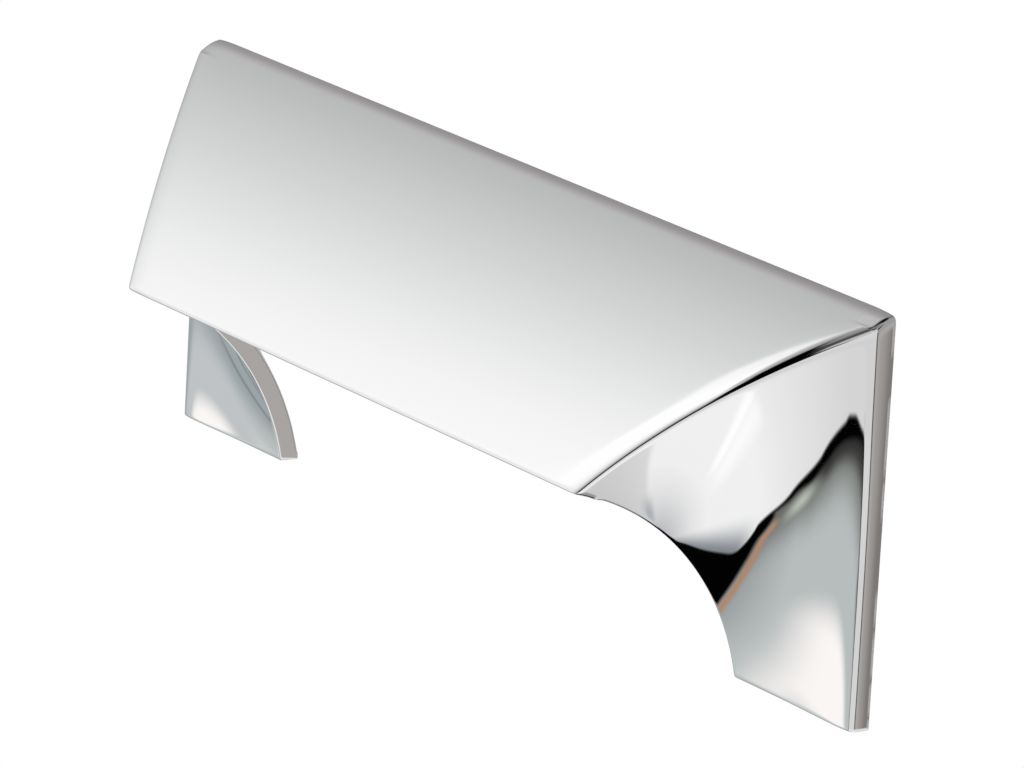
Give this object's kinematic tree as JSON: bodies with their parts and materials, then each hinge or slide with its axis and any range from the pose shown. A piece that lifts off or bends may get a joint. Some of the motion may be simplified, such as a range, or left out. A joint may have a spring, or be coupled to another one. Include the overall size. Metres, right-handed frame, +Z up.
{
  "type": "drawer pull handle",
  "caption": "Bow-fronted drawer pull with an open finger space under a sloping plate, twisted end cheeks and tapped holes in the back.",
  "frame": {"origin": "midway between the two screw holes, on the back face that lies against the drawer front", "axes": "+X along the pull, +Y into the drawer front, along the screws, +Z up"},
  "size_m": [0.12, 0.0213, 0.04],
  "materials": {
    "polished_chrome": "polished"
  },
  "bodies": {
    "root": {"handle": "polished_chrome"}
  },
  "joints": []
}
